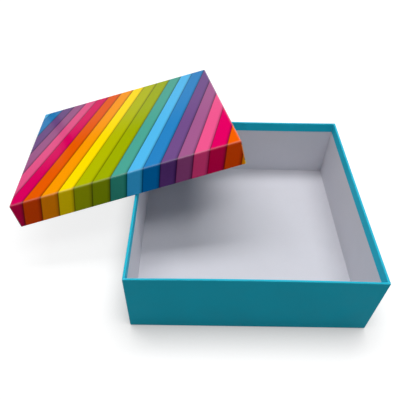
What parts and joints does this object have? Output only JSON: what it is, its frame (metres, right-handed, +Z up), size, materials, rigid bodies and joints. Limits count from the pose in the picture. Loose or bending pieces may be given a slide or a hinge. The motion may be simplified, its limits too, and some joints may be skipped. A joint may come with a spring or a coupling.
{
  "type": "rigid gift box",
  "caption": "Deep square rigid cardboard box with a shallow lift-off lid in diagonal rainbow stripes, which leans on the open base's back corner.",
  "frame": {"origin": "centre of the underside of the base", "axes": "+X to the base's right, +Y to its back, +Z up out of the open base"},
  "size_m": [0.4171, 0.3847, 0.1406],
  "materials": {
    "greyboard": "matte",
    "teal_paper": "satin",
    "lining_paper": "matte",
    "stay_paper": "matte",
    "striped_paper": "gloss"
  },
  "bodies": {
    "base": {"base_board": "greyboard", "base_wrap": "teal_paper", "base_lining": "lining_paper", "base_stay_front_left": "stay_paper", "base_stay_front_right": "stay_paper", "base_stay_back_left": "stay_paper", "base_stay_back_right": "stay_paper"},
    "lid": {"lid_board": "greyboard", "lid_wrap": "striped_paper", "lid_lining": "lining_paper", "lid_stay_front_left": "stay_paper", "lid_stay_front_right": "stay_paper", "lid_stay_back_left": "stay_paper", "lid_stay_back_right": "stay_paper"}
  },
  "joints": [
    {"name": "lid_lift", "type": "slide", "parent": "base", "child": "lid", "axis": [0, 0, 1], "range_m": [0, 0.12]}
  ]
}
